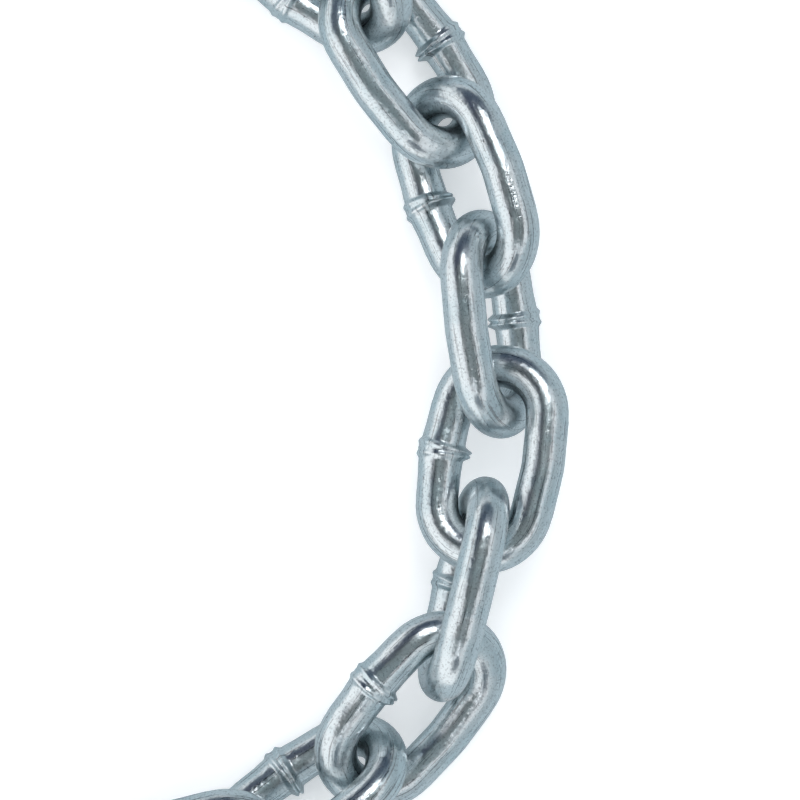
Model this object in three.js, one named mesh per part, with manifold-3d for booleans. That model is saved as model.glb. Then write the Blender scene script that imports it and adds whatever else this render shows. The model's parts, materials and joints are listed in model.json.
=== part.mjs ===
// Load binder chain: welded round-wire links laid in a ring on the floor,
// with a clevis grab hook pinned to each end link.
// Millimetres, +Z up. The origin is on the floor, under the middle of the layout.
import * as THREE from "three";
import { mergeVertices } from "three/addons/utils/BufferGeometryUtils.js";
import Module from "manifold-3d";

const wasm = await Module();
wasm.setup();

// Chain link
const wireDiameter = 10;
const insideLength = 33.8; // length of the opening
const crownPlay = 1.3; // a round end is this much wider, all round, than the wire that lies in it
const legBow = 4.5; // degrees that each half leg leans outwards, towards its middle
const weldWidth = 3.6; // length of the weld along the leg
const weldHeight = 0.8; // how far the weld stands out of the wire
const bearingPlay = 0.45; // gap left where two pieces bear on each other
const slantShare = 1.6; // share of the wire added to the gap where two wires cross at a slant

// Clevis grab hook
const clevisPinDiameter = 11;
const earPlay = 3.5; // room beside the end link between the ears
const earThickness = 7.5;
const earRadius = 12.5;
const crotchRoom = 2.5; // gap between the end link's crown and the bottom of the fork
const hookThickness = 18;
const hookEdge = 3; // bevel round the hook's section
const throatPlay = 2.5; // the throat takes one link edge on, and stops the next one
const throatLength = 26; // straight part of the throat
const neckLength = 21; // from the bottom of the fork to the start of the throat
const tipSetBack = 8.5; // how far the tip stops short of the neck, to leave a way in
const backWidth = 15; // arm that carries the load, beside the throat
const tipWidth = 12; // arm on the open side
const saddleDepth = 16; // steel below the throat
const tipLean = 14; // degrees that the tip opens outwards

// Clevis pin and its split pin
const pinPlay = 0.3; // radial gap between the pin and the ears
const pinHeadRadius = 8;
const pinHeadHeight = 4;
const pinEndLength = 8; // how far the pin stands out beyond the second ear
const splitPinDiameter = 3;
const splitPinPlay = 0.4; // radial gap in the cross hole
const splitPinEyeRadius = 3.2;
const splitPinLegLength = 6; // length of the opened leg ends
const splitPinLegSpread = 35; // degrees

// The lay on the floor: heading and roll of each link in whole degrees, from one end to the other.
// Heading 0 is along +X and 90 along +Y. Roll lifts the link's left side.
const lay = [
  [0, 90],
  [6, -10],
  [-4, 70],
  [8, -28],
  [3, 50],
  [-6, -42],
  [-12, 42],
  [-22, -40],
  [-36, 44],
  [-55, -36],
  [-71, 39],
  [-83, -60],
  [-100, 13],
  [-104, 81],
  [-130, -28],
  [-145, 49],
  [-163, -35],
  [-172, 46],
  [-181, -40],
  [-188, 48],
  [-184, -30],
  [-176, 68],
  [-182, -12],
  [-180, 90],
];
const weldUppermost = [3, 6, 15, 20]; // links whose weld is on the higher leg

// Facets
const wireSides = 10;
const crownSteps = 8;
const roundSides = 16;
const smallSides = 8;

const wireRadius = wireDiameter / 2;
const crownRadius = wireDiameter + crownPlay;
const earGap = wireDiameter + earPlay;
const throatWidth = wireDiameter + throatPlay;
const pinRadius = clevisPinDiameter / 2;
const splitPinRadius = splitPinDiameter / 2;
const bow = THREE.MathUtils.degToRad(legBow);
const crownCentre = insideLength / 2 + wireRadius - crownRadius;
const legStart = new THREE.Vector3(
  crownCentre + crownRadius * Math.sin(bow),
  crownRadius * Math.cos(bow),
  0,
);
const halfWidth = legStart.y + legStart.x * Math.tan(bow);

const materials = {
  zinc: () =>
    new THREE.MeshStandardMaterial({ color: 0xc4ccd0, roughness: 0.28, metalness: 1 }),
  forged: () =>
    new THREE.MeshStandardMaterial({ color: 0xbfc7cb, roughness: 0.38, metalness: 1 }),
  pin: () =>
    new THREE.MeshStandardMaterial({ color: 0xc8ced1, roughness: 0.22, metalness: 1 }),
};

// A closed geometry as a solid that can be joined and cut.
function solidOf(geometry) {
  const bare = geometry.clone();
  bare.deleteAttribute("normal");
  bare.deleteAttribute("uv");
  const merged = mergeVertices(bare, 1e-4);
  return new wasm.Manifold(
    new wasm.Mesh({
      numProp: 3,
      vertProperties: merged.attributes.position.array,
      triVerts: new Uint32Array(merged.index.array),
    }),
  );
}

function meshOf(solid, name, material) {
  const made = solid.getMesh();
  const geometry = new THREE.BufferGeometry();
  geometry.setAttribute("position", new THREE.BufferAttribute(made.vertProperties, 3));
  geometry.setIndex(new THREE.BufferAttribute(made.triVerts, 1));
  geometry.computeVertexNormals();
  const mesh = new THREE.Mesh(geometry, material());
  mesh.name = name;
  return mesh;
}

// A cylinder along the X, Y or Z axis.
function rod(radius, length, axis, sides = roundSides) {
  const geometry = new THREE.CylinderGeometry(radius, radius, length, sides);
  if (axis === "x") geometry.rotateZ(-Math.PI / 2);
  if (axis === "z") geometry.rotateX(Math.PI / 2);
  return geometry;
}

// Centreline of a link. It runs once round, from the middle of the leg on the +Y side.
class LinkLine extends THREE.Curve {
  getUtoTmapping(u) {
    return u;
  }

  station(t) {
    const quarter = Math.floor(t * 4) % 4;
    const along = t * 4 - Math.floor(t * 4);
    const sideX = quarter < 2 ? 1 : -1;
    const sideY = quarter === 0 || quarter === 3 ? 1 : -1;
    const fromLeg = quarter % 2 ? 1 - along : along;
    const legShare = 1 / (1 + crownSteps / 2);
    const onLeg = Math.min(fromLeg / legShare, 1);
    const onCrown = Math.max((fromLeg - legShare) / (1 - legShare), 0);
    const angle = (Math.PI / 2 - bow) * (1 - onCrown) + bow * (1 - onLeg);
    const point =
      onLeg < 1
        ? new THREE.Vector3(0, halfWidth, 0).lerp(legStart, onLeg)
        : new THREE.Vector3(
            crownCentre + crownRadius * Math.cos(angle),
            crownRadius * Math.sin(angle),
            0,
          );
    const outwards = new THREE.Vector3(Math.cos(angle), Math.sin(angle), 0);
    const side = new THREE.Vector3(sideX, sideY, 1);
    return { point: point.multiply(side), outwards: outwards.multiply(side) };
  }

  getPoint(t, target = new THREE.Vector3()) {
    return target.copy(this.station(t).point);
  }

  getTangent(t, target = new THREE.Vector3()) {
    const { outwards } = this.station(t);
    return target.set(outwards.y, -outwards.x, 0);
  }
}

// A link in its own frame: its length along X, its width along Y, the weld on one leg.
function linkSolid(weldSide) {
  const steps = 2 * crownSteps + 4;
  const loop = new THREE.TubeGeometry(new LinkLine(), steps, wireRadius, wireSides, true);
  const weld = rod(wireRadius + weldHeight, weldWidth, "x", wireSides);
  weld.translate(0, weldSide * halfWidth, 0);
  return solidOf(loop).add(solidOf(weld));
}

// Side view of the fork: round ears about the pin, running into the neck.
function forkSolid() {
  const bottom = pinRadius + bearingPlay + wireDiameter + crotchRoom;
  const end = bottom + neckLength / 2;
  const width = earGap + 2 * earThickness;
  const side = new THREE.Shape();
  side.moveTo(end, hookThickness / 2);
  side.lineTo(end, -hookThickness / 2);
  side.lineTo(bottom, -hookThickness / 2);
  side.absarc(0, 0, earRadius, -Math.PI / 3, Math.PI / 3, true);
  side.lineTo(bottom, hookThickness / 2);
  const block = new THREE.ExtrudeGeometry(side, {
    depth: width,
    bevelEnabled: false,
    curveSegments: roundSides,
  });
  block.translate(0, 0, -width / 2);
  block.rotateX(-Math.PI / 2);
  const slot = new THREE.BoxGeometry(2 * bottom, earGap, 3 * earRadius);
  return {
    fork: solidOf(block)
      .subtract(solidOf(slot))
      .subtract(solidOf(rod(pinRadius + pinPlay, 2 * width, "y"))),
    bottom,
    width,
  };
}

// The hook in its own frame: pin axis along Y through the origin, load along +X, flat in XY.
function hookSolid() {
  const { fork, bottom, width } = forkSolid();
  const half = throatWidth / 2;
  const mouth = bottom + neckLength;
  const seat = mouth + throatLength;
  const tip = mouth + tipSetBack;
  const lean = Math.tan(THREE.MathUtils.degToRad(tipLean)) * (seat - tip);
  const outer = half + backWidth;
  const start = bottom + 0.5;
  const shoulder = start + 2 * hookEdge;
  const profile = new THREE.Shape();
  profile.moveTo(start, -width / 2);
  profile.lineTo(shoulder, -width / 2);
  profile.bezierCurveTo(mouth - 6, -width / 2, mouth - 10, half, mouth, half);
  profile.absarc(seat, 0, half, Math.PI / 2, -Math.PI / 2, true);
  profile.absarc(
    tip,
    -half - lean / 2 - tipWidth / 2,
    tipWidth / 2,
    Math.PI / 2,
    (3 * Math.PI) / 2,
    false,
  );
  profile.absellipse(seat, 0, half + saddleDepth, outer, -Math.PI / 2, Math.PI / 2, false, 0);
  profile.bezierCurveTo(mouth, outer, mouth - 6, width / 2, shoulder, width / 2);
  profile.lineTo(start, width / 2);
  const body = new THREE.ExtrudeGeometry(profile, {
    depth: hookThickness - 2 * hookEdge,
    bevelThickness: hookEdge,
    bevelSize: hookEdge,
    bevelOffset: -hookEdge,
    bevelSegments: 1,
    curveSegments: 6,
  });
  body.translate(0, 0, hookEdge - hookThickness / 2);
  return { solid: solidOf(body).add(fork), reach: seat + half + saddleDepth, width };
}

const hook = hookSolid();
const splitPinPlace = hook.width / 2 + splitPinRadius + splitPinPlay + bearingPlay;

// The clevis pin along Y: a round head outside one ear, a cross hole outside the other.
function clevisPinSolid() {
  const headSeat = -hook.width / 2 - bearingPlay;
  const end = hook.width / 2 + pinEndLength;
  const chamfer = 1;
  const outline = [
    [0, headSeat - pinHeadHeight],
    [pinHeadRadius - chamfer, headSeat - pinHeadHeight],
    [pinHeadRadius, headSeat - pinHeadHeight + chamfer],
    [pinHeadRadius, headSeat],
    [pinRadius, headSeat],
    [pinRadius, end - chamfer],
    [pinRadius - chamfer, end],
    [0, end],
  ].map(([radius, height]) => new THREE.Vector2(radius, height));
  const cross = rod(splitPinRadius + splitPinPlay, 4 * pinRadius, "x", smallSides);
  cross.translate(0, splitPinPlace, 0);
  return solidOf(new THREE.LatheGeometry(outline, roundSides)).subtract(solidOf(cross));
}

// The split pin along X through the clevis pin: an eye on one side, two opened legs on the other.
function splitPinSolid() {
  const shank = rod(splitPinRadius, 2 * pinRadius + 3, "x", smallSides);
  const eye = new THREE.TorusGeometry(splitPinEyeRadius, splitPinRadius * 0.8, smallSides, 14);
  eye.rotateX(Math.PI / 2);
  eye.translate(-pinRadius - 1 - splitPinEyeRadius, 0, 0);
  const legs = [-1, 1].map((side) => {
    const leg = rod(splitPinRadius * 0.7, splitPinLegLength, "x", smallSides);
    leg.translate(splitPinLegLength / 2, 0, 0);
    leg.rotateY(side * THREE.MathUtils.degToRad(splitPinLegSpread));
    leg.translate(pinRadius + 1, 0, 0);
    return leg;
  });
  return [eye, ...legs].reduce((solid, piece) => solid.add(solidOf(piece)), solidOf(shank));
}

// Centre height of each bearing between links, so that every link is carried clear of the floor.
const restHeights = lay.map(
  ([, roll]) => wireRadius + halfWidth * Math.abs(Math.sin(THREE.MathUtils.degToRad(roll))),
);
const bearingHeights = [
  restHeights[0],
  ...restHeights.slice(1).map((height, i) => Math.max(height, restHeights[i])),
  restHeights.at(-1),
];

function poseOf(heading, pitch, roll) {
  const turn = new THREE.Euler(roll, -pitch, heading, "ZYX");
  const along = new THREE.Vector3(1, 0, 0).applyEuler(turn);
  const across = new THREE.Vector3(0, 1, 0).applyEuler(turn);
  const normal = new THREE.Vector3(0, 0, 1).applyEuler(turn);
  return { turn, along, across, normal };
}

// From a link's crown centre to where its wire bears, for a pull in the direction given.
function bearingDirection({ along, across }, pull) {
  return along
    .clone()
    .multiplyScalar(pull.dot(along))
    .addScaledVector(across, pull.dot(across))
    .normalize();
}

// Step from one link's centre to the next one's, with their crowns bearing on each other.
function bearingStep(before, after) {
  const pull = before.along.clone().add(after.along).normalize();
  const first = bearingDirection(before, pull);
  const second = bearingDirection(after, pull);
  const slant = first.clone().cross(before.normal).dot(second.clone().cross(after.normal));
  return first
    .add(second)
    .multiplyScalar(crownRadius)
    .addScaledVector(before.along, crownCentre)
    .addScaledVector(after.along, crownCentre)
    .addScaledVector(pull, -bearingPlay - wireDiameter * (1 + slantShare * slant ** 2));
}

// Each link bears on the one before it, and is pitched to reach the next bearing's height.
function layChain() {
  const links = [];
  for (const [i, [heading, roll]] of lay.entries()) {
    const before = links.at(-1);
    const start = before
      ? before.centre.z + (insideLength / 2) * before.along.z
      : bearingHeights[0];
    const pitch = Math.asin((bearingHeights[i + 1] - start) / insideLength);
    const radians = THREE.MathUtils.degToRad;
    const pose = poseOf(radians(heading), pitch, radians(roll));
    const centre = before
      ? bearingStep(before, pose).add(before.centre)
      : new THREE.Vector3(0, 0, bearingHeights[0]);
    links.push({ ...pose, centre });
  }
  return links;
}

const layout = new THREE.Group();
const links = layChain();

links.forEach((link, i) => {
  const number = i + 1;
  const lowSide = lay[i][1] > 0 ? -1 : 1;
  const weldSide = weldUppermost.includes(number) ? -lowSide : lowSide;
  const name = "chain_link_" + String(number).padStart(2, "0");
  const mesh = meshOf(linkSolid(weldSide), name, materials.zinc);
  mesh.position.copy(link.centre);
  mesh.rotation.copy(link.turn);
  layout.add(mesh);
});

const floor = new THREE.Box3().setFromObject(layout, true).min.z;

// A hook at each end: the end link's crown bears on the pin, and the toe dips to the floor.
function addHook(link, outwards, suffix) {
  const group = new THREE.Group();
  const pull = link.along.clone().multiplyScalar(outwards);
  const pinSeat = crownCentre + crownRadius - wireRadius - pinRadius - bearingPlay;
  group.position.copy(link.centre).addScaledVector(pull, pinSeat);
  const pinHeight = group.position.z - floor;
  const dip = Math.asin((pinHeight - hookThickness / 2) / (hook.reach - hookEdge));
  group.rotation.set(0, dip, Math.atan2(pull.y, pull.x), "ZYX");
  const splitPin = meshOf(splitPinSolid(), "split_pin_" + suffix, materials.pin);
  splitPin.position.y = splitPinPlace;
  group.add(
    meshOf(hook.solid, "grab_hook_" + suffix, materials.forged),
    meshOf(clevisPinSolid(), "clevis_pin_" + suffix, materials.pin),
    splitPin,
  );
  layout.add(group);
}

addHook(links[0], -1, "a");
addHook(links.at(-1), 1, "b");

const box = new THREE.Box3().setFromObject(layout, true);
const middle = box.getCenter(new THREE.Vector3());
layout.position.set(-middle.x, -middle.y, -box.min.z);

const chain = new THREE.Group();
chain.add(layout);
export default chain;
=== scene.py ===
"""Load binder chain: smooth zinc-plated links, clevis grab hooks and their pins.

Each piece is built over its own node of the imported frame."""

import json
import math
import random

import bmesh
import bpy
import numpy as np
from mathutils import Matrix, Vector, noise


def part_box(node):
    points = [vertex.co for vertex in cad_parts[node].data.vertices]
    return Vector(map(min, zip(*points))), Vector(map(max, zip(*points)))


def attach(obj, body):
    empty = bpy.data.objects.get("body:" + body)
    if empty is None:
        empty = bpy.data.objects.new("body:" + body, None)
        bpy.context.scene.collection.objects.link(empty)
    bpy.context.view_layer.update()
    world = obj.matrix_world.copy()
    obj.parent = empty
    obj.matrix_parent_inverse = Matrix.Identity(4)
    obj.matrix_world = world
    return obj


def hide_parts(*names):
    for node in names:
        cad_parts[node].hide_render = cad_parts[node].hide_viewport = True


bl_info = {
    "name": "Load Binder Chain",
    "version": (1, 0, 0),
    "blender": (4, 5, 0),
    "location": "View3D > Sidebar > Chain",
    "description": "Builds a zinc-plated load binder chain with a clevis grab hook at each end",
    "category": "Object",
}

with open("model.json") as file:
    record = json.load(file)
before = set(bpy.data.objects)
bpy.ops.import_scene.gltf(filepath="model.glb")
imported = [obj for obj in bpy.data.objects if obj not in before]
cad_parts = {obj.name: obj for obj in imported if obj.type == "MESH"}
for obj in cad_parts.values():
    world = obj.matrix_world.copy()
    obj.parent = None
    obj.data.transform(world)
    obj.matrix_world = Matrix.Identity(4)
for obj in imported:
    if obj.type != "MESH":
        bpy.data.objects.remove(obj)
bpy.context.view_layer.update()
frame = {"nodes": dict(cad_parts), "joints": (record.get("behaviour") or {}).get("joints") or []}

MM = 0.001
WIRE = 0.010  # wire of the end link that a hook's fork is made for
WELD_ZONE = 0.003  # a weld lies within this distance of the middle of its leg
WELD_REACH = 0.007  # past this distance the weld doesn't raise the wire
PATTERN_SHIFT = 0.37  # moves the surface pattern on from link to link
JOINTS = {joint["name"]: joint for joint in frame["joints"]}
LINKS = sorted(name for name in frame["nodes"] if name.startswith("chain_link_"))
HOOKS = sorted(name for name in frame["nodes"] if name.startswith("grab_hook_"))
UP = Vector((0, 0, 1))


# Settings

class ChainLinkSettings(bpy.types.PropertyGroup):
    wire: bpy.props.FloatProperty(
        name="Wire", description="Wire diameter", default=0.010, min=0.002, unit="LENGTH")
    inside_length: bpy.props.FloatProperty(
        name="Inside length", description="Length of the opening", default=0.0338, unit="LENGTH")
    crown_play: bpy.props.FloatProperty(
        name="Crown play", description="Extra radius of a round end", default=0.0013, unit="LENGTH")
    bow: bpy.props.FloatProperty(
        name="Bow", description="Outward lean of each half leg",
        default=math.radians(4.5), subtype="ANGLE")
    weld_spread: bpy.props.FloatProperty(
        name="Weld spread", description="Distance between the two weld ridges",
        default=0.0021, unit="LENGTH")
    weld_ridge: bpy.props.FloatProperty(
        name="Weld ridge", description="Height of a weld ridge on the outer side",
        default=0.00038, unit="LENGTH")
    weld_nub: bpy.props.FloatProperty(
        name="Weld nub", description="Height of the flash left on the inner side",
        default=0.0011, unit="LENGTH")
    sides: bpy.props.IntProperty(
        name="Sides", description="Facets round the wire", default=36, min=12)
    crown_steps: bpy.props.IntProperty(
        name="Crown steps", description="Facets along each round end", default=26, min=8)
    seed: bpy.props.IntProperty(
        name="Seed", description="Start of the random marks", default=7)


class GrabHookSettings(bpy.types.PropertyGroup):
    thickness: bpy.props.FloatProperty(
        name="Thickness", description="Thickness of the hook", default=0.018, unit="LENGTH")
    edge: bpy.props.FloatProperty(
        name="Edge", description="Rounding of the hook's section", default=0.0038, unit="LENGTH")
    pin: bpy.props.FloatProperty(
        name="Pin", description="Diameter of the clevis pin", default=0.011, unit="LENGTH")
    pin_play: bpy.props.FloatProperty(
        name="Pin play", description="Gap between the pin and the ears", default=0.0003, unit="LENGTH")
    ear_play: bpy.props.FloatProperty(
        name="Ear play", description="Room beside the end link", default=0.0035, unit="LENGTH")
    ear_thickness: bpy.props.FloatProperty(
        name="Ear thickness", description="Thickness of one ear", default=0.0075, unit="LENGTH")
    ear_radius: bpy.props.FloatProperty(
        name="Ear radius", description="Outer radius of the ears", default=0.0125, unit="LENGTH")
    fork_bottom: bpy.props.FloatProperty(
        name="Fork depth", description="From the pin axis to the bottom of the fork",
        default=0.0184, unit="LENGTH")
    neck: bpy.props.FloatProperty(
        name="Neck", description="From the fork to the throat", default=0.021, unit="LENGTH")
    throat_width: bpy.props.FloatProperty(
        name="Throat width", description="Width of the throat", default=0.0125, unit="LENGTH")
    throat_length: bpy.props.FloatProperty(
        name="Throat length", description="Straight part of the throat",
        default=0.026, unit="LENGTH")
    tip_set_back: bpy.props.FloatProperty(
        name="Tip set back", description="Opening between the tip and the neck",
        default=0.0085, unit="LENGTH")
    back_width: bpy.props.FloatProperty(
        name="Back width", description="Arm that carries the load", default=0.015, unit="LENGTH")
    tip_width: bpy.props.FloatProperty(
        name="Tip width", description="Arm on the open side", default=0.012, unit="LENGTH")
    saddle_depth: bpy.props.FloatProperty(
        name="Saddle depth", description="Steel below the throat", default=0.016, unit="LENGTH")
    tip_lean: bpy.props.FloatProperty(
        name="Tip lean", description="Outward lean of the tip",
        default=math.radians(14), subtype="ANGLE")
    voxel: bpy.props.FloatProperty(
        name="Voxel", description="Grid of the forged surface", default=0.0006, unit="LENGTH")


class ClevisPinSettings(bpy.types.PropertyGroup):
    head_radius: bpy.props.FloatProperty(
        name="Head radius", description="Radius of the pin head", default=0.008, unit="LENGTH")
    head_height: bpy.props.FloatProperty(
        name="Head height", description="Height of the pin head", default=0.004, unit="LENGTH")
    end_length: bpy.props.FloatProperty(
        name="End length", description="Length beyond the second ear", default=0.008, unit="LENGTH")
    seat_gap: bpy.props.FloatProperty(
        name="Seat gap", description="Gap under the head and the split pin",
        default=0.0004, unit="LENGTH")
    split_pin: bpy.props.FloatProperty(
        name="Split pin", description="Diameter of the split pin", default=0.003, unit="LENGTH")
    split_play: bpy.props.FloatProperty(
        name="Split pin play", description="Gap in the cross hole", default=0.0004, unit="LENGTH")
    eye_radius: bpy.props.FloatProperty(
        name="Eye radius", description="Radius of the split pin's eye",
        default=0.0032, unit="LENGTH")
    leg_length: bpy.props.FloatProperty(
        name="Leg length", description="Length of an opened leg end", default=0.006, unit="LENGTH")
    leg_spread: bpy.props.FloatProperty(
        name="Leg spread", description="Angle of an opened leg end",
        default=math.radians(35), subtype="ANGLE")


class FinishSettings(bpy.types.PropertyGroup):
    zinc: bpy.props.FloatVectorProperty(
        name="Zinc", description="Colour of the plating", subtype="COLOR",
        default=(0.63, 0.70, 0.725), min=0, max=1)
    tint: bpy.props.FloatVectorProperty(
        name="Tint", description="Blue-green of the passivated hollows", subtype="COLOR",
        default=(0.42, 0.57, 0.62), min=0, max=1)
    stain: bpy.props.FloatVectorProperty(
        name="Stain", description="Colour of the pits and die lines", subtype="COLOR",
        default=(0.04, 0.055, 0.07), min=0, max=1)
    gloss: bpy.props.FloatProperty(
        name="Roughness", description="Lowest roughness of the plating", default=0.276, min=0, max=1)
    film: bpy.props.FloatProperty(
        name="Film", description="Refractive index of the clear passivated film",
        default=3.2, min=1, max=4)


class StageSettings(bpy.types.PropertyGroup):
    floor: bpy.props.FloatVectorProperty(
        name="Floor", description="Colour of the floor", subtype="COLOR",
        default=(0.93, 0.94, 0.95), min=0, max=1)
    floor_size: bpy.props.FloatProperty(
        name="Floor size", description="Side of the floor", default=8.0, unit="LENGTH")
    view_width: bpy.props.FloatProperty(
        name="View width", description="Width of floor that the camera sees",
        default=0.1864, unit="LENGTH")
    view_height: bpy.props.FloatProperty(
        name="Camera height", description="Height of the camera above the chain",
        default=1.3, unit="LENGTH")
    view_offset: bpy.props.FloatVectorProperty(
        name="View offset", description="Camera aim, from the root link's middle",
        size=2, default=(-0.0214, 0.01386), unit="LENGTH")
    view_turn: bpy.props.FloatProperty(
        name="View turn", description="Turn of the camera about the vertical",
        default=math.radians(-0.29), subtype="ANGLE")
    light: bpy.props.FloatProperty(
        name="Light", description="Strength of the studio surround", default=1.0, min=0)


# Mesh helpers

def frame_matrix(origin, x, y, z):
    """Matrix with the given origin and axes."""
    return Matrix((
        (x[0], y[0], z[0], origin[0]),
        (x[1], y[1], z[1], origin[1]),
        (x[2], y[2], z[2], origin[2]),
        (0, 0, 0, 1),
    ))


def node_points(name):
    """The separate points of a CAD node, in metres."""
    mesh = frame["nodes"][name].data
    flat = np.empty(3 * len(mesh.vertices), np.float32)
    mesh.vertices.foreach_get("co", flat)
    return np.unique(np.round(flat.reshape(-1, 3).astype(float), 6), axis=0)


def middle_of(values):
    return (values.min() + values.max()) / 2


def loose_object(name, bm):
    """An object of a bmesh, which is freed."""
    mesh = bpy.data.meshes.new(name)
    bm.to_mesh(mesh)
    bm.free()
    made = bpy.data.objects.new(name, mesh)
    bpy.context.scene.collection.objects.link(made)
    return made


def new_object(name, bm, material, smooth_angle):
    """A finished piece of a bmesh, with smooth shading up to an angle."""
    made = loose_object(name, bm)
    made.data.materials.append(material)
    made.data.shade_smooth()
    made.data.set_sharp_from_angle(angle=smooth_angle)
    return made


def remove_object(obj):
    mesh = obj.data
    bpy.data.objects.remove(obj)
    bpy.data.meshes.remove(mesh)


def baked(obj):
    """A bmesh of an object with its modifiers carried out. The object is removed."""
    bpy.context.view_layer.update()
    graph = bpy.context.evaluated_depsgraph_get()
    bm = bmesh.new()
    bm.from_object(obj, graph)
    remove_object(obj)
    return bm


def sweep(bm, ring, frames):
    """Extrudes a ring of edges through a list of frames, and gives the last ring."""
    for before, after in zip(frames, frames[1:]):
        made = bmesh.ops.extrude_edge_only(bm, edges=ring)["geom"]
        verts = [part for part in made if isinstance(part, bmesh.types.BMVert)]
        ring = [
            part for part in made
            if isinstance(part, bmesh.types.BMEdge) and part.is_boundary
        ]
        bmesh.ops.transform(bm, matrix=after @ before.inverted(), verts=verts)
    return ring


def spaced(start, end, steps):
    """Evenly spaced values, both ends included."""
    return [start + (end - start) * i / steps for i in range(steps + 1)]


# Links

class LinkShape:
    """Centreline of a link in its own frame: X along it, Y towards its weld."""

    def __init__(self, size):
        self.size = size
        self.radius = size.wire / 2
        self.crown = size.wire + size.crown_play
        self.centre = size.inside_length / 2 + self.radius - self.crown
        self.leg_end = self.centre + self.crown * math.sin(size.bow)
        self.leg_side = self.crown * math.cos(size.bow)
        self.half_width = self.leg_side + self.leg_end * math.tan(size.bow)
        self.leg_length = self.leg_end / math.cos(size.bow)
        self.quarter = self.leg_length + self.crown * (math.pi / 2 - size.bow)
        self.softness = 0.0012

    def leg_frame(self, x, side):
        """Frame of the wire at x on the leg of the side given, heading round the link."""
        bend = math.hypot(x, self.softness)
        y = self.half_width - (bend - self.softness) * math.tan(self.size.bow)
        slope = -math.tan(self.size.bow) * x / bend
        outwards = Vector((-slope, 1, 0)).normalized()
        outwards.y *= side
        return self.wire_frame(Vector((x, side * y, 0)), outwards)

    def crown_frame(self, angle, end):
        outwards = Vector((end * math.cos(angle), math.sin(angle), 0))
        point = outwards * self.crown
        point.x += end * self.centre
        return self.wire_frame(point, outwards)

    def wire_frame(self, point, outwards):
        return frame_matrix(point, outwards, UP, outwards.cross(UP))

    def frames(self):
        """Frames once round the link, from the weld back to the weld."""
        weld_step = 0.00013
        weld_margin = 0.0006
        crown_margin = 0.0007
        near = [i * weld_step for i in range(25)]
        far = spaced(near[-1] + weld_margin, self.leg_end - crown_margin, 9)
        top = near + far
        plain = spaced(self.leg_end - crown_margin, crown_margin - self.leg_end, 20)
        reach = math.pi / 2 - self.size.bow
        angles = spaced(reach, -reach, self.size.crown_steps)
        return (
            [self.leg_frame(x, 1) for x in top]
            + [self.crown_frame(angle, 1) for angle in angles]
            + [self.leg_frame(x, -1) for x in plain]
            + [self.crown_frame(-angle, -1) for angle in angles]
            + [self.leg_frame(-x, 1) for x in reversed(top)]
        )

    def place(self, point):
        """Distance from the weld along the wire, outward offset and height of a point."""
        x, y = abs(point.x), abs(point.y)
        angle = math.atan2(y, x - self.centre)
        if x > self.centre and angle < math.pi / 2 - self.size.bow:
            along = self.quarter - self.crown * angle
            outwards = math.hypot(x - self.centre, y) - self.crown
        else:
            lean = self.size.bow
            drop = y - self.half_width
            along = x * math.cos(lean) - drop * math.sin(lean)
            outwards = x * math.sin(lean) + drop * math.cos(lean)
        if point.y < 0:
            along = 2 * self.quarter - along
        if point.x < 0:
            along = 4 * self.quarter - along
        return along, outwards, point.z

    def radial(self, point, outwards, height):
        """Direction straight out of the wire at a point of its surface."""
        x, y = abs(point.x), abs(point.y)
        angle = math.atan2(y, x - self.centre)
        if x <= self.centre or angle >= math.pi / 2 - self.size.bow:
            angle = math.pi / 2 - self.size.bow
        side = Vector((math.cos(angle), math.sin(angle), 0))
        side.x = math.copysign(side.x, point.x)
        side.y = math.copysign(side.y, point.y)
        return (side * outwards + UP * height).normalized()


def link_frame(name):
    """Frame of a CAD link: X along it, Y towards its weld, Z square to it."""
    points = node_points(name)
    mean = points.mean(0)
    axes = np.linalg.svd(points - mean, full_matrices=False)[2]
    local = (points - mean) @ axes.T
    along = middle_of(local[:, 0])
    clear_of_weld = np.abs(local[:, 0] - along) > WELD_ZONE
    across = middle_of(local[clear_of_weld, 1])
    normal = middle_of(local[:, 2])
    origin = mean + np.array([along, across, normal]) @ axes
    at_weld = local[np.abs(local[:, 0] - along) < WELD_ZONE, 1] - across
    weld_side = 1 if at_weld.max() > -at_weld.min() else -1
    x = Vector(axes[0])
    y = Vector(axes[1]) * weld_side
    return frame_matrix(Vector(origin), x, y, x.cross(y))


def weld_height(x, angle, size, marks):
    """How far the weld stands out of the wire at x from its middle, at an angle round the wire."""
    sway = 0.0002
    swell = 0.0002
    ridge_width = 0.00062
    collar_margin = 0.0008
    swell_reach = 0.0045
    half = size.weld_spread / 2
    shift = sway * marks["wobble"] * math.sin(2 * angle + marks["turn"])
    inner = 0.5 - 0.5 * math.cos(angle - marks["lean"])
    nub = size.weld_nub * marks["nub"] * max(0.0, (inner - 0.55) / 0.45) ** 1.5
    around = Vector((1.8 * math.cos(angle), 1.8 * math.sin(angle), marks["turn"]))
    ridge = size.weld_ridge * (1 + 0.6 * noise.noise(around))
    first = math.exp(-(((x - half - shift) / ridge_width) ** 2))
    second = math.exp(-(((x + half - shift) / ridge_width) ** 2))
    collar = math.exp(-(((x - shift) / (half + collar_margin)) ** 6))
    upset = math.exp(-((x / swell_reach) ** 4))
    return (
        (ridge + 0.6 * nub) * (first + marks["second"] * second)
        + (0.8 * ridge + 0.5 * nub) * collar
        + swell * upset
    )


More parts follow.
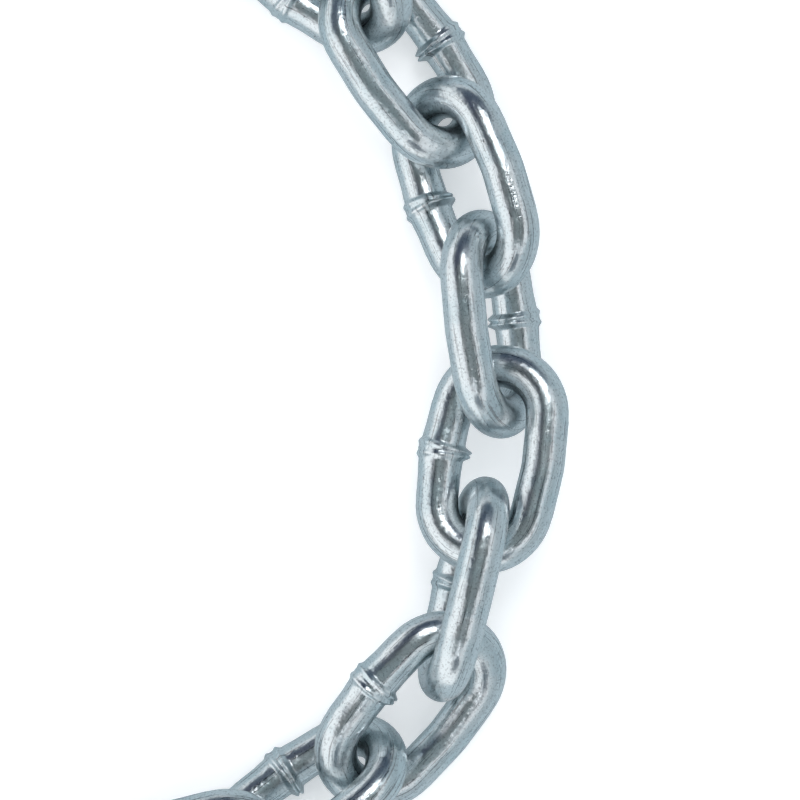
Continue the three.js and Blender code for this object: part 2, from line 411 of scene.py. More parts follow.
def build_link(name, size, material):
    """One smooth link with its weld, in place over its CAD node."""
    number = int(name.rsplit("_", 1)[1])
    rng = random.Random(size.seed * 1000 + number)
    marks = {
        "wobble": rng.uniform(-1, 1),
        "turn": rng.uniform(0, 6),
        "lean": rng.uniform(-0.5, 0.5),
        "nub": rng.uniform(0.7, 1.25),
        "second": rng.uniform(0.75, 1.0),
    }
    shape = LinkShape(size)
    frames = shape.frames()
    bm = bmesh.new()
    ring = bmesh.ops.create_circle(bm, segments=size.sides, radius=shape.radius)["verts"]
    bmesh.ops.transform(bm, matrix=frames[0], verts=ring)
    sweep(bm, list(bm.edges), frames)
    bmesh.ops.remove_doubles(bm, verts=bm.verts, dist=1e-5)
    bmesh.ops.recalc_face_normals(bm, faces=bm.faces)

    total = 4 * shape.quarter
    wire = bm.loops.layers.float_vector.new("wire")
    places = {vert: shape.place(vert.co) for vert in bm.verts}
    for face in bm.faces:
        wraps = max(places[vert][0] for vert in face.verts) > 0.75 * total
        for loop in face.loops:
            along, outwards, height = places[loop.vert]
            if wraps and along < total / 2:
                along += total
            loop[wire] = Vector((along + PATTERN_SHIFT * number, outwards, height))
    dent = 0.00006
    dent_rate = 180
    lump = Vector((3.1 * number, 0, 0))
    for vert in bm.verts:
        along, outwards, height = places[vert]
        from_weld = along if along < total / 2 else along - total
        push = dent * noise.noise(vert.co * dent_rate + lump)
        if abs(from_weld) < WELD_REACH:
            push += weld_height(from_weld, math.atan2(height, outwards), size, marks)
        vert.co += shape.radial(vert.co, outwards, height) * push
    bmesh.ops.transform(bm, matrix=link_frame(name), verts=bm.verts)
    return new_object(name + "_wire", bm, material, math.radians(75))


# Hooks and pins

def hook_frame(suffix):
    """Frame of a hook: origin on the pin axis, X along the load, Y along the pin to its open end."""
    joint = JOINTS["grab_hook_" + suffix + "_swing"]
    origin = Vector(joint["pos_m"])
    y = Vector(joint["axis"]).normalized()
    low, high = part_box("split_pin_" + suffix)
    if ((low + high) / 2 - origin).dot(y) < 0:
        y = -y
    points = node_points("grab_hook_" + suffix) - np.array(origin)
    flat = points - np.outer(points @ np.array(y), np.array(y))
    centred = flat - flat.mean(0)
    axes = np.linalg.svd(centred, full_matrices=False)[2]
    x = Vector(axes[0])
    if x.dot(Vector(flat.mean(0))) < 0:
        x = -x
    x = (x - y * x.dot(y)).normalized()
    return frame_matrix(origin, x, y, x.cross(y))


def ear_face(hook):
    """Distance from the middle of the fork to the outer face of an ear."""
    return hook.ear_play / 2 + WIRE / 2 + hook.ear_thickness


def arc(centre, radius, start, end, steps, squash=1.0):
    """Points of an arc in the XY plane, its X radius squashed by a factor."""
    return [
        Vector((
            centre[0] + radius * squash * math.cos(angle),
            centre[1] + radius * math.sin(angle),
            0,
        ))
        for angle in spaced(start, end, steps)
    ]


def bezier(points, steps):
    """Points of a cubic curve in the XY plane, without its first one."""
    a, b, c, d = (Vector((x, y, 0)) for x, y in points)
    made = []
    for t in spaced(0, 1, steps)[1:]:
        made.append(
            a * (1 - t) ** 3 + b * 3 * t * (1 - t) ** 2 + c * 3 * t * t * (1 - t) + d * t ** 3)
    return made


def slab(outline, height, edge, segments):
    """A bmesh of a flat outline given a height and rounded rims."""
    bm = bmesh.new()
    face = bm.faces.new([bm.verts.new(point) for point in outline])
    bmesh.ops.translate(bm, verts=bm.verts, vec=(0, 0, -height / 2))
    made = bmesh.ops.extrude_face_region(bm, geom=[face])["geom"]
    top = [part for part in made if isinstance(part, bmesh.types.BMVert)]
    bmesh.ops.translate(bm, verts=top, vec=(0, 0, height))
    bmesh.ops.recalc_face_normals(bm, faces=bm.faces)
    if edge:
        rims = [
            e for e in bm.edges
            if abs(abs(e.verts[0].co.z) - height / 2) < 1e-7
            and abs(e.verts[0].co.z - e.verts[1].co.z) < 1e-7
        ]
        bmesh.ops.bevel(
            bm, geom=rims, offset=edge, offset_type="OFFSET", segments=segments, profile=0.5,
            affect="EDGES", material=-1, clamp_overlap=True)
    return bm


def cylinder(radius, length, segments, matrix):
    bm = bmesh.new()
    bmesh.ops.create_cone(
        bm, cap_ends=True, segments=segments, radius1=radius, radius2=radius, depth=length,
        matrix=matrix)
    return bm


def cut(base, tools, operation):
    """A bmesh of the base object after boolean steps with the tools, which are removed."""
    for tool in tools:
        step = base.modifiers.new("step", "BOOLEAN")
        step.object = tool
        step.operation = operation
        step.solver = "EXACT"
    bm = baked(base)
    for tool in tools:
        remove_object(tool)
    return bm


def hook_outline(size):
    """Outline of the hook's body in its own frame, from the neck round the saddle and the tip."""
    half = size.throat_width / 2
    short_bend = 0.006
    long_bend = 0.010
    fork_margin = 0.0005
    width = ear_face(size)
    mouth = size.fork_bottom + size.neck
    seat = mouth + size.throat_length
    tip = mouth + size.tip_set_back
    lean = math.tan(size.tip_lean) * (seat - tip)
    outer = half + size.back_width
    start = size.fork_bottom + fork_margin
    shoulder = start + short_bend
    tip_middle = -half - lean / 2 - size.tip_width / 2
    saddle = half + size.saddle_depth
    quarter = math.pi / 2
    points = [Vector((start, -width, 0)), Vector((shoulder, -width, 0))]
    points += bezier(
        [(shoulder, -width), (mouth - short_bend, -width), (mouth - long_bend, half),
         (mouth, half)], 14)
    points += arc((seat, 0), half, quarter, -quarter, 24)
    points += arc((tip, tip_middle), size.tip_width / 2, quarter, 3 * quarter, 18)
    points += arc((seat, 0), outer, -quarter, quarter, 48, saddle / outer)
    points += bezier(
        [(seat, outer), (mouth, outer), (mouth - short_bend, width), (shoulder, width)], 16)
    points.append(Vector((start, width, 0)))
    kept = points[:1]
    for point in points[1:]:
        if (point - kept[-1]).length > 1e-4:
            kept.append(point)
    return kept


def build_hook(suffix, size, material):
    """A forged clevis grab hook with rounded edges and a faint trim line."""
    ear_edge = 0.0014
    ear_angle = math.radians(62)
    bore_margin = 0.0009
    trim_height = 0.00038
    trim_width = 0.0009
    width = 2 * ear_face(size)
    body = loose_object("body", slab(hook_outline(size), size.thickness, size.edge, 4))
    side = arc((0, 0), size.ear_radius, -ear_angle, ear_angle - 2 * math.pi, 48)
    end = size.fork_bottom + size.neck / 2
    half = size.thickness / 2
    ears_outline = (
        [Vector((end, half, 0)), Vector((end, -half, 0)), Vector((size.fork_bottom, -half, 0))]
        + side
        + [Vector((size.fork_bottom, half, 0))]
    )
    ears = slab(ears_outline, width, ear_edge, 3)
    bmesh.ops.rotate(
        ears, verts=ears.verts, cent=(0, 0, 0), matrix=Matrix.Rotation(-math.pi / 2, 3, "X"))
    joined = loose_object("hook", cut(body, [loose_object("ears", ears)], "UNION"))
    gap = WIRE + size.ear_play
    slot = bmesh.new()
    bmesh.ops.create_cube(
        slot, size=1, matrix=Matrix.Diagonal((2 * size.fork_bottom, gap, 3 * size.ear_radius, 1)))
    rims = [e for e in slot.edges if abs(e.verts[0].co.z - e.verts[1].co.z) > 0.01]
    bmesh.ops.bevel(
        slot, geom=rims, offset=gap * 0.35, offset_type="OFFSET", segments=5, profile=0.5,
        affect="EDGES", material=-1, clamp_overlap=True)
    bore = cylinder(
        size.pin / 2 + size.pin_play, 2 * width, 48, Matrix.Rotation(math.pi / 2, 4, "X"))
    shaped = loose_object(
        "hook",
        cut(joined, [loose_object("slot", slot), loose_object("bore", bore)], "DIFFERENCE"))
    remesh = shaped.modifiers.new("forge", "REMESH")
    remesh.mode = "VOXEL"
    remesh.voxel_size = size.voxel
    bm = baked(shaped)
    inside = size.pin / 2 + size.pin_play + bore_margin
    skin = [v for v in bm.verts if math.hypot(v.co.x, v.co.z) > inside]
    for _ in range(5):
        bmesh.ops.smooth_vert(
            bm, verts=skin, factor=0.5, use_axis_x=True, use_axis_y=True, use_axis_z=True)
    lump = Vector((9.7 if suffix == "a" else 4.2, 0, 0))
    bm.normal_update()
    moves = []
    for vert in bm.verts:
        push = 0.00016 * noise.noise(vert.co * 130 + lump) + 0.00005 * noise.noise(vert.co * 420)
        trim = abs(vert.normal.z) < 0.75 and vert.co.x > size.fork_bottom
        if trim:
            push += trim_height * math.exp(-((vert.co.z / trim_width) ** 2))
        if math.hypot(vert.co.x, vert.co.z) > inside:
            moves.append((vert, vert.normal * push))
    for vert, move in moves:
        vert.co += move
    bmesh.ops.transform(bm, matrix=hook_frame(suffix), verts=bm.verts)
    return new_object("grab_hook_" + suffix + "_forging", bm, material, math.radians(60))


def turned(outline, segments):
    """A closed turned bmesh about the Y axis, from a radius and height outline."""
    bm = bmesh.new()
    verts = [bm.verts.new((radius, height, 0)) for radius, height in outline]
    edges = [bm.edges.new(pair) for pair in zip(verts, verts[1:])]
    bmesh.ops.spin(
        bm, geom=verts + edges, cent=(0, 0, 0), axis=(0, 1, 0), dvec=(0, 0, 0),
        angle=2 * math.pi, steps=segments, use_merge=True, use_duplicate=False)
    bmesh.ops.remove_doubles(bm, verts=bm.verts, dist=1e-6)
    bmesh.ops.recalc_face_normals(bm, faces=bm.faces)
    return bm


def split_pin_place(hook, pin):
    """Height of the split pin along the clevis pin."""
    return ear_face(hook) + pin.split_pin / 2 + pin.split_play + pin.seat_gap


def build_clevis_pin(suffix, hook, pin, material):
    """A turned clevis pin with a domed head, a chamfered end and a cross hole."""
    width = ear_face(hook)
    seat = -width - pin.seat_gap
    end = width + pin.end_length
    radius = hook.pin / 2
    chamfer = 0.001
    fillet = 0.0004
    ease = 0.0002
    crown = arc((0, 0), 1, -math.pi / 2, 0, 8)
    outline = [(0, seat - pin.head_height)]
    outline += [
        (pin.head_radius - chamfer + chamfer * point.x,
         seat - pin.head_height + chamfer + chamfer * point.y)
        for point in crown
    ]
    outline += [
        (pin.head_radius, seat - fillet),
        (pin.head_radius - fillet, seat),
        (radius + fillet, seat),
        (radius, seat + fillet),
        (radius, end - chamfer - ease),
        (radius - ease / 2, end - chamfer),
        (radius - chamfer, end - ease / 2),
        (radius - chamfer - ease, end),
        (0, end),
    ]
    shank = loose_object("pin", turned(outline, 64))
    place = split_pin_place(hook, pin)
    hole = cylinder(
        pin.split_pin / 2 + pin.split_play, 6 * radius, 24,
        Matrix.Translation((0, place, 0)) @ Matrix.Rotation(math.pi / 2, 4, "Y"))
    bm = cut(shank, [loose_object("hole", hole)], "DIFFERENCE")
    bmesh.ops.transform(bm, matrix=hook_frame(suffix), verts=bm.verts)
    return new_object("clevis_pin_" + suffix + "_turned", bm, material, math.radians(30))


def split_pin_path(hook, pin):
    """Centreline of the folded wire, as points in the pin's XZ plane."""
    radius = hook.pin / 2
    quarter_wire = pin.split_pin / 4
    eye = pin.eye_radius
    margin = 0.001
    neck_step = 0.0003
    eye_step = 0.0006
    leg_steps = 8
    straight_steps = 10
    neck = -radius - margin
    legs = radius + margin
    reach = Vector((math.cos(pin.leg_spread), math.sin(pin.leg_spread)))
    points = []
    for share in spaced(1, 0, leg_steps):
        bend = share ** 1.3
        points.append(Vector((legs + pin.leg_length * share * reach.x,
                              quarter_wire + pin.leg_length * bend * reach.y * share ** 0.2)))
    straight = spaced(legs, neck - neck_step, straight_steps)[1:]
    points += [Vector((x, quarter_wire)) for x in straight]
    first_leg = list(points)
    open_angle = 0.42
    points += [
        Vector((neck - eye_step - eye + eye * math.cos(angle), eye * math.sin(angle)))
        for angle in spaced(open_angle, 2 * math.pi - open_angle, 28)
    ]
    points += [Vector((point.x, -point.y)) for point in reversed(first_leg)]
    return points


def build_split_pin(suffix, hook, pin, material):
    """A split pin folded from half-round wire, with its leg ends opened."""
    place = split_pin_place(hook, pin)
    path = split_pin_path(hook, pin)
    frames = []
    for i, point in enumerate(path):
        ahead = path[min(i + 1, len(path) - 1)] - path[max(i - 1, 0)]
        tangent = Vector((ahead.x, 0, ahead.y)).normalized()
        across = Vector((0, 1, 0))
        out = across.cross(tangent)
        frames.append(frame_matrix(
            Vector((point.x, place, point.y)), out, across, out.cross(across)))
    bm = bmesh.new()
    ring = bmesh.ops.create_circle(bm, segments=20, radius=pin.split_pin * 0.27)["verts"]
    bmesh.ops.scale(bm, verts=ring, vec=(0.9, 1.75, 1))
    bmesh.ops.transform(bm, matrix=frames[0], verts=ring)
    first = list(bm.edges)
    last = sweep(bm, first, frames)
    bmesh.ops.holes_fill(bm, edges=first + last, sides=0)
    bmesh.ops.recalc_face_normals(bm, faces=bm.faces)
    bmesh.ops.transform(bm, matrix=hook_frame(suffix), verts=bm.verts)
    return new_object("split_pin_" + suffix + "_folded", bm, material, math.radians(50))


# Surface effects shared by the materials

def add_node(tree, kind, values=None, **properties):
    """Adds a node, sets its properties, and sets or links its inputs."""
    made = tree.nodes.new(kind)
    for name, value in properties.items():
        setattr(made, name, value)
    for name, value in (values or {}).items():
        if isinstance(value, bpy.types.NodeSocket):
            tree.links.new(value, made.inputs[name])
        else:
            made.inputs[name].default_value = value
    return made


def group(name, inputs, outputs):
    """A new node group, and its input and output nodes."""
    tree = bpy.data.node_groups.new(name, "ShaderNodeTree")
    for label, kind, default in inputs:
        socket = tree.interface.new_socket(name=label, in_out="INPUT", socket_type=kind)
        if default is not None:
            socket.default_value = default
    for label, kind in outputs:
        tree.interface.new_socket(name=label, in_out="OUTPUT", socket_type=kind)
    return tree, tree.nodes.new("NodeGroupInput"), tree.nodes.new("NodeGroupOutput")


def maths(tree, operation, first, second=None, clamp=False):
    values = {0: first}
    if second is not None:
        values[1] = second
    return add_node(
        tree, "ShaderNodeMath", values, operation=operation, use_clamp=clamp).outputs[0]


def step_between(tree, value, low, high):
    """A smooth step from 0 at low to 1 at high."""
    return add_node(
        tree, "ShaderNodeMapRange",
        {"Value": value, "From Min": low, "From Max": high, "To Min": 0.0, "To Max": 1.0},
        interpolation_type="SMOOTHSTEP", clamp=True).outputs[0]


VECTOR = "NodeSocketVector"
NUMBER = "NodeSocketFloat"


def drawn_lines_group():
    """Fine die lines along a drawn wire. X of the vector runs along the wire."""
    tree, given, result = group(
        "Drawn lines", [("Vector", VECTOR, None), ("Size", NUMBER, 0.0004)],
        [("Height", NUMBER), ("Mask", NUMBER)])
    squeezed = add_node(
        tree, "ShaderNodeVectorMath", {0: given.outputs["Vector"], 1: (0.035, 1, 1)},
        operation="MULTIPLY").outputs[0]
    rate = maths(tree, "DIVIDE", 1.0, given.outputs["Size"])
    fine = add_node(
        tree, "ShaderNodeTexNoise",
        {"Vector": squeezed, "Scale": rate, "Detail": 3.0, "Roughness": 0.6}).outputs[0]
    coarse = add_node(
        tree, "ShaderNodeTexNoise",
        {"Vector": squeezed, "Scale": maths(tree, "MULTIPLY", rate, 0.4), "Detail": 1.0}).outputs[0]
    tree.links.new(fine, result.inputs["Height"])
    line = step_between(tree, fine, 0.45, 0.38)
    here = step_between(tree, coarse, 0.42, 0.54)
    tree.links.new(maths(tree, "MULTIPLY", line, here), result.inputs["Mask"])
    return tree


def plating_grain_group():
    """Crystal grain of a bright plated skin: small bumps and darker grains."""
    tree, given, result = group(
        "Plating grain", [("Vector", VECTOR, None), ("Size", NUMBER, 0.0003)],
        [("Height", NUMBER), ("Mask", NUMBER)])
    rate = maths(tree, "DIVIDE", 1.0, given.outputs["Size"])
    grain = add_node(
        tree, "ShaderNodeTexNoise",
        {"Vector": given.outputs["Vector"], "Scale": rate, "Detail": 4.0, "Roughness": 0.65},
    ).outputs[0]
    tree.links.new(grain, result.inputs["Height"])
    tree.links.new(step_between(tree, grain, 0.50, 0.66), result.inputs["Mask"])
    return tree


def pits_group():
    """Scattered small pits. Amount is the share of cells that hold one."""
    tree, given, result = group(
        "Pits",
        [("Vector", VECTOR, None), ("Size", NUMBER, 0.001), ("Amount", NUMBER, 0.3),
         ("Width", NUMBER, 0.22)],
        [("Height", NUMBER), ("Mask", NUMBER)])
    rate = maths(tree, "DIVIDE", 1.0, given.outputs["Size"])
    wander = add_node(
        tree, "ShaderNodeTexNoise",
        {"Vector": given.outputs["Vector"], "Scale": maths(tree, "MULTIPLY", rate, 3.0),
         "Detail": 2.0}).outputs[0]
    cells = add_node(
        tree, "ShaderNodeTexVoronoi", {"Vector": given.outputs["Vector"], "Scale": rate},
        feature="F1")
    apart = add_node(tree, "ShaderNodeSeparateColor", {0: cells.outputs["Color"]}).outputs[0]
    chosen = maths(tree, "LESS_THAN", apart, given.outputs["Amount"])
    distance = maths(tree, "ADD", cells.outputs["Distance"], maths(tree, "MULTIPLY", wander, 0.25))
    edge = maths(tree, "ADD", given.outputs["Width"], 0.125)
    depth = maths(tree, "SUBTRACT", edge, distance, clamp=True)
    mask = maths(tree, "MULTIPLY", step_between(tree, depth, 0.0, 0.12), chosen)
    tree.links.new(mask, result.inputs["Mask"])
    tree.links.new(maths(tree, "MULTIPLY", mask, -1.0), result.inputs["Height"])
    return tree


def nicks_group():
    """Short sharp handling marks that lie across the vector's X axis."""
    tree, given, result = group(
        "Nicks", [("Vector", VECTOR, None), ("Size", NUMBER, 0.004), ("Amount", NUMBER, 0.5)],
        [("Height", NUMBER), ("Mask", NUMBER)])
    rate = maths(tree, "DIVIDE", 1.0, given.outputs["Size"])
    bent = add_node(
        tree, "ShaderNodeTexNoise",
        {"Vector": given.outputs["Vector"], "Scale": maths(tree, "MULTIPLY", rate, 2.0),
         "Detail": 2.0}).outputs["Color"]
    moved = add_node(
        tree, "ShaderNodeVectorMath",
        {0: bent, 1: (0.0013, 0.0013, 0.0013), 2: given.outputs["Vector"]},
        operation="MULTIPLY_ADD").outputs[0]
    stretched = add_node(
        tree, "ShaderNodeVectorMath", {0: moved, 1: (1, 0.45, 0.45)},
        operation="MULTIPLY").outputs[0]
    cracks = add_node(
        tree, "ShaderNodeTexVoronoi", {"Vector": stretched, "Scale": rate},
        feature="DISTANCE_TO_EDGE").outputs[0]
    patches = add_node(
        tree, "ShaderNodeTexNoise",
        {"Vector": given.outputs["Vector"], "Scale": maths(tree, "MULTIPLY", rate, 1.2)}).outputs[0]
    here = step_between(tree, patches, maths(tree, "SUBTRACT", 0.85, given.outputs["Amount"]), 0.75)
    line = step_between(tree, cracks, 0.03, 0.004)
    mask = maths(tree, "MULTIPLY", line, here)
    tree.links.new(mask, result.inputs["Mask"])
    tree.links.new(maths(tree, "MULTIPLY", mask, -1.0), result.inputs["Height"])
    return tree


def surface_groups():
    """The shared effect groups, made once."""
    made = {}
    for name, maker in (
        ("Drawn lines", drawn_lines_group),
        ("Plating grain", plating_grain_group),
        ("Pits", pits_group),
        ("Nicks", nicks_group),
    ):
        made[name] = bpy.data.node_groups.get(name) or maker()
    return made


def use_group(tree, effect, **values):
    """Places a shared effect in a material, with its own values."""
    return add_node(
        tree, "ShaderNodeGroup", values, node_tree=surface_groups()[effect]).outputs


def weighted_sum(tree, terms):
    """Sum of sockets, each times a number."""
    total = None
    for socket, weight in terms:
        if total is None:
            total = maths(tree, "MULTIPLY", socket, weight)
        else:
            total = add_node(
                tree, "ShaderNodeMath", {0: socket, 1: weight, 2: total},
                operation="MULTIPLY_ADD").outputs[0]
    return total


def mix(tree, factor, first, second):
    return add_node(
        tree, "ShaderNodeMix", {0: factor, 6: first, 7: second}, data_type="RGBA").outputs[2]


def shader(name):
    """A new material, with its tree and Principled shader."""
    made = bpy.data.materials.new(name)
    made.use_nodes = True
    return made, made.node_tree, made.node_tree.nodes["Principled BSDF"]


def plated(name, finish, source, heights, colours, rough):
    """Bright zinc plate. Heights are millimetres of bump, colours the shares of each mask."""
    made, tree, principled = shader(name)
    vector = source(tree)
    drawn = use_group(tree, "Drawn lines", Vector=vector, Size=0.00045)
    grain = use_group(tree, "Plating grain", Vector=vector, Size=0.00055)
    pits = use_group(tree, "Pits", Vector=vector, Size=0.0009, Amount=0.16, Width=0.08)
    nicks = use_group(tree, "Nicks", Vector=vector, Size=0.0050, Amount=0.22)
    wavy = add_node(
        tree, "ShaderNodeTexNoise", {"Vector": vector, "Scale": 700.0, "Detail": 2.0}).outputs[0]
    broad = add_node(
        tree, "ShaderNodeTexNoise", {"Vector": vector, "Scale": 130.0, "Detail": 3.0}).outputs[0]
    height = weighted_sum(tree, [
        (drawn["Height"], heights["lines"]),
        (grain["Height"], heights["grain"]),
        (wavy, heights["wavy"]),
        (broad, heights["broad"]),
        (pits["Height"], 0.035),
        (nicks["Height"], 0.03),
    ])
    bump = add_node(
        tree, "ShaderNodeBump", {"Strength": 1.0, "Distance": MM, "Height": height})
    tree.links.new(bump.outputs[0], principled.inputs["Normal"])

    tint = step_between(tree, broad, 0.42, 0.66)
    colour = mix(
        tree, maths(tree, "MULTIPLY", tint, colours["tint"]),
        (*finish.zinc, 1), (*finish.tint, 1))
    marks = weighted_sum(tree, [
        (drawn["Mask"], colours["lines"]),
        (grain["Mask"], colours["grain"]),
        (pits["Mask"], 0.75),
        (nicks["Mask"], 0.7),
    ])
    dark = maths(tree, "MINIMUM", marks, 0.9)
    colour = mix(tree, dark, colour, (*finish.stain, 1))
    tree.links.new(colour, principled.inputs["Base Color"])
    roughness = weighted_sum(tree, [
        (step_between(tree, broad, 0.4, 0.7), 0.05), (grain["Mask"], 0.04), (dark, 0.12),
    ])
    tree.links.new(
        maths(tree, "ADD", roughness, finish.gloss + rough), principled.inputs["Roughness"])
    principled.inputs["Metallic"].default_value = 1.0
    principled.inputs["Coat Weight"].default_value = 1.0
    principled.inputs["Coat Roughness"].default_value = 0.04
    principled.inputs["Coat IOR"].default_value = finish.film
    tree.links.new(bump.outputs[0], principled.inputs["Coat Normal"])
    return made


def wire_place(tree):
    return add_node(
        tree, "ShaderNodeAttribute", attribute_name="wire", attribute_type="GEOMETRY",
    ).outputs["Vector"]


def object_place(tree):
    return add_node(tree, "ShaderNodeTexCoord").outputs["Object"]


def link_material(finish):
    """Zinc over drawn wire: die lines, fine grain and small pits, following the wire."""
    return plated(
        "Zinc on drawn wire", finish, wire_place,
        {"lines": 0.030, "grain": 0.040, "wavy": 0.085, "broad": 0.18},
        {"tint": 0.60, "lines": 0.75, "grain": 0.50}, 0.0)


def forging_material(finish):
    """Zinc over a forged skin: coarser and duller."""
    return plated(
        "Zinc on forging", finish, object_place,
        {"lines": 0.0, "grain": 0.05, "wavy": 0.12, "broad": 0.25},
        {"tint": 0.5, "lines": 0.0, "grain": 0.45}, 0.10)


def pin_material(finish):
    """Zinc over a turned skin."""
    return plated(
        "Zinc on turned steel", finish, object_place,
        {"lines": 0.010, "grain": 0.020, "wavy": 0.02, "broad": 0.05},
        {"tint": 0.35, "lines": 0.2, "grain": 0.3}, 0.03)


def floor_material(colour):
    """Pale glowing table top with a hardly visible grain, duller in reflections."""
    made, tree, principled = shader("Pale floor")
    spots = add_node(
        tree, "ShaderNodeTexNoise",
        {"Vector": object_place(tree), "Scale": 9.0, "Detail": 2.0}).outputs[0]
    shade = mix(tree, spots, (*(0.99 * part for part in colour), 1), (*colour, 1))
    # Painted reflection: glossy rays see a darker floor colour than the floor has, so the floor shows
    # darker where the metal reflects it.
    mirrored = add_node(tree, "ShaderNodeLightPath").outputs["Is Glossy Ray"]
    shade = mix(tree, mirrored, shade, FLOOR_IN_METAL)
    tree.links.new(shade, principled.inputs["Base Color"])
    # The floor glows faintly, like a light table, which lightens the shadows on it.
    tree.links.new(shade, principled.inputs["Emission Color"])
    principled.inputs["Emission Strength"].default_value = 0.35
    principled.inputs["Roughness"].default_value = 0.9
    principled.inputs["Specular IOR Level"].default_value = 0.1
    return made


# Stage

LOW_SURROUND = (0.40, 0.47, 0.51, 1)
HIGH_SURROUND = (0.50, 0.57, 0.61, 1)
# Painted reflection: the darker floor colour that glossy rays see in the metal.
FLOOR_IN_METAL = (0.36, 0.42, 0.45, 1)
FLOOR_LIGHT_HEIGHT = 2.4
FLOOR_LIGHT_SIZE = (3.2, 3.2)
FLOOR_LIGHT_POWER = 38

# Patches of the studio surround: azimuth, elevation, half width and softness in degrees, and
# colour. Each one covers those before it.
PATCHES = (
    (180, 20, 88, 20, (1.15, 1.18, 1.20)),
    (0, 90, 48, 3, (1.10, 1.12, 1.15)),
    (95, 42, 32, 6, (0.02, 0.04, 0.08)),
    (128, 54, 24, 4, (0.003, 0.012, 0.05)),
    (270, 40, 13, 5, (0.05, 0.07, 0.10)),
    (0, 90, 33, 1, (0.0, 0.0, 0.0)),
    (0, 90, 21, 1, (0.185, 0.225, 0.235)),
    (76, 60, 10, 2, (5.0, 5.1, 5.2)),
    (265, 62, 5, 2, (2.2, 2.3, 2.4)),
)


def studio_world(strength):
    """A surround of softboxes with a grey opening overhead and dark gaps between them."""
    world = bpy.data.worlds.new("Studio surround")
    bpy.context.scene.world = world
    world.use_nodes = True
    tree = world.node_tree
    background = tree.nodes["Background"]
    direction = add_node(tree, "ShaderNodeTexCoord").outputs["Generated"]
    height = add_node(tree, "ShaderNodeSeparateXYZ", {0: direction}).outputs["Z"]
    colour = mix(
        tree, step_between(tree, height, 0.0, 0.7), LOW_SURROUND, HIGH_SURROUND)
    for azimuth, elevation, width, soft, shade in PATCHES:
        around, up = math.radians(azimuth), math.radians(elevation)
        aim = (math.cos(around) * math.cos(up), math.sin(around) * math.cos(up), math.sin(up))
        facing = add_node(
            tree, "ShaderNodeVectorMath", {0: direction, 1: aim}, operation="DOT_PRODUCT",
        ).outputs["Value"]
        inside = step_between(
            tree, facing, math.cos(math.radians(width + soft)), math.cos(math.radians(width)))
        colour = mix(tree, inside, colour, (*shade, 1))
    tree.links.new(colour, background.inputs["Color"])
    background.inputs["Strength"].default_value = strength


def add_camera(stage):
    """A camera straight above the root link, aimed down."""
    low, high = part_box("chain_link_13")
    middle = (low + high) / 2
    data = bpy.data.cameras.new("Camera")
    data.sensor_width = 36
    data.lens = data.sensor_width * stage.view_height / stage.view_width
    data.clip_end = 50
    made = bpy.data.objects.new("Camera", data)
    bpy.context.scene.collection.objects.link(made)
    made.location = (
        middle.x + stage.view_offset[0], middle.y + stage.view_offset[1],
        middle.z + stage.view_height)
    made.rotation_euler = (0, 0, stage.view_turn)
    bpy.context.scene.camera = made


def add_softbox(name, place, aim, size, power):
    """A rectangular lamp that reflections don't show."""
    data = bpy.data.lights.new(name, "AREA")
    data.shape = "RECTANGLE"
    data.size, data.size_y = size
    data.energy = power
    made = bpy.data.objects.new(name, data)
    bpy.context.scene.collection.objects.link(made)
    made.location = place
    made.rotation_euler = (Vector(aim) - Vector(place)).to_track_quat("-Z", "Y").to_euler()
    made.visible_glossy = False


def add_floor(stage):
    bm = bmesh.new()
    bmesh.ops.create_grid(bm, x_segments=4, y_segments=4, size=stage.floor_size / 2)
    made = loose_object("Floor", bm)
    made.data.materials.append(floor_material(stage.floor))


# Operators

class CHAIN_OT_stage(bpy.types.Operator):
    """Add the floor, the light and the camera"""
    bl_idname = "chain.stage"
    bl_label = "Stage"

    def execute(self, context):
        stage = context.scene.chain_stage
        add_floor(stage)
        studio_world(stage.light)
        add_camera(stage)
        add_softbox(
            "Floor light", (0, 0, FLOOR_LIGHT_HEIGHT), (0, 0, 0), FLOOR_LIGHT_SIZE,
            FLOOR_LIGHT_POWER)
        context.scene.view_settings.view_transform = "Standard"
        return {"FINISHED"}


class CHAIN_OT_links(bpy.types.Operator):
    """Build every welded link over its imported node"""
    bl_idname = "chain.links"
    bl_label = "Links"

    def execute(self, context):
        size = context.scene.chain_link
        material = link_material(context.scene.chain_finish)
        for name in LINKS:
            made = build_link(name, size, material)
            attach(made, name)
            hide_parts(name)
        return {"FINISHED"}


class CHAIN_OT_hooks(bpy.types.Operator):
    """Build the clevis grab hooks"""
    bl_idname = "chain.hooks"
    bl_label = "Grab hooks"

    def execute(self, context):
        material = forging_material(context.scene.chain_finish)
        for name in HOOKS:
            made = build_hook(name[-1], context.scene.chain_hook, material)
            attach(made, name)
            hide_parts(name)
        return {"FINISHED"}


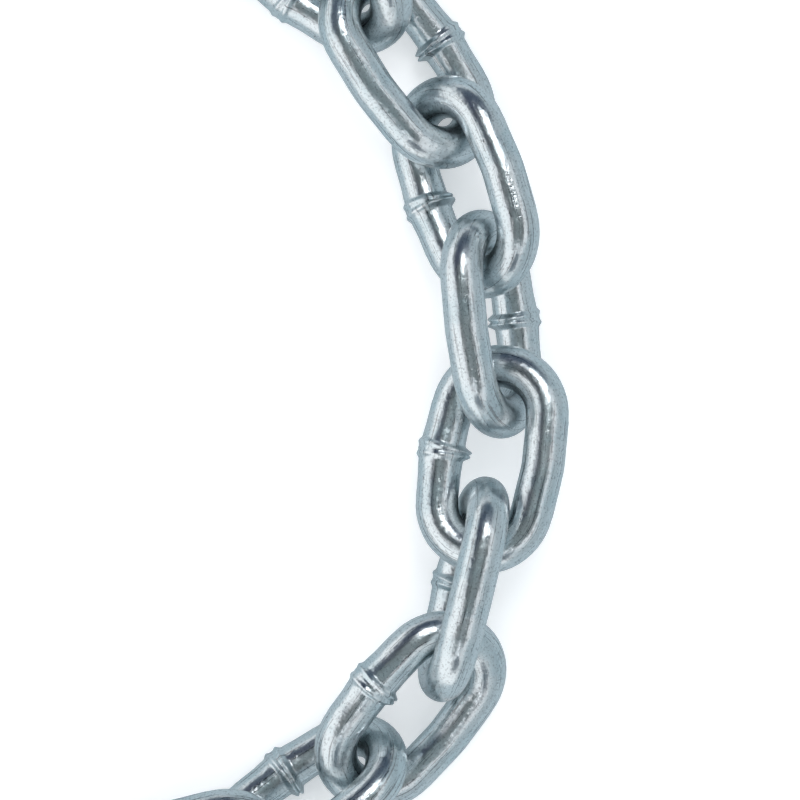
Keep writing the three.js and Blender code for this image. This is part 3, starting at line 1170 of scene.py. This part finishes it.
class CHAIN_OT_pins(bpy.types.Operator):
    """Build the clevis pins and their split pins"""
    bl_idname = "chain.pins"
    bl_label = "Pins"

    def execute(self, context):
        scene = context.scene
        material = pin_material(scene.chain_finish)
        for name in HOOKS:
            suffix = name[-1]
            for kind, maker in (("clevis_pin_", build_clevis_pin), ("split_pin_", build_split_pin)):
                made = maker(suffix, scene.chain_hook, scene.chain_pin, material)
                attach(made, "clevis_pin_" + suffix)
                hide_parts(kind + suffix)
        return {"FINISHED"}


class CHAIN_PT_panel(bpy.types.Panel):
    """Lists the pieces of the chain and their sizes"""
    bl_idname = "CHAIN_PT_panel"
    bl_label = "Load Binder Chain"
    bl_space_type = "VIEW_3D"
    bl_region_type = "UI"
    bl_category = "Chain"

    def draw(self, context):
        scene = context.scene
        for operator, settings in (
            ("chain.links", scene.chain_link),
            ("chain.hooks", scene.chain_hook),
            ("chain.pins", scene.chain_pin),
            ("chain.stage", scene.chain_stage),
            (None, scene.chain_finish),
        ):
            box = self.layout.box()
            if operator:
                box.operator(operator)
            for name in settings.bl_rna.properties.keys():
                if name not in ("rna_type", "name"):
                    box.prop(settings, name)


SETTINGS = {
    "chain_link": ChainLinkSettings,
    "chain_hook": GrabHookSettings,
    "chain_pin": ClevisPinSettings,
    "chain_finish": FinishSettings,
    "chain_stage": StageSettings,
}
OPERATORS = (CHAIN_OT_links, CHAIN_OT_hooks, CHAIN_OT_pins, CHAIN_OT_stage)


def register():
    for cls in (*SETTINGS.values(), *OPERATORS, CHAIN_PT_panel):
        bpy.utils.register_class(cls)
    for name, cls in SETTINGS.items():
        setattr(bpy.types.Scene, name, bpy.props.PointerProperty(type=cls))


def unregister():
    for name in SETTINGS:
        delattr(bpy.types.Scene, name)
    for cls in (CHAIN_PT_panel, *reversed(OPERATORS), *reversed(SETTINGS.values())):
        bpy.utils.unregister_class(cls)


def main():
    register()
    bpy.ops.chain.links()
    bpy.ops.chain.hooks()
    bpy.ops.chain.pins()
    bpy.ops.chain.stage()


if __name__ == "__main__":
    main()
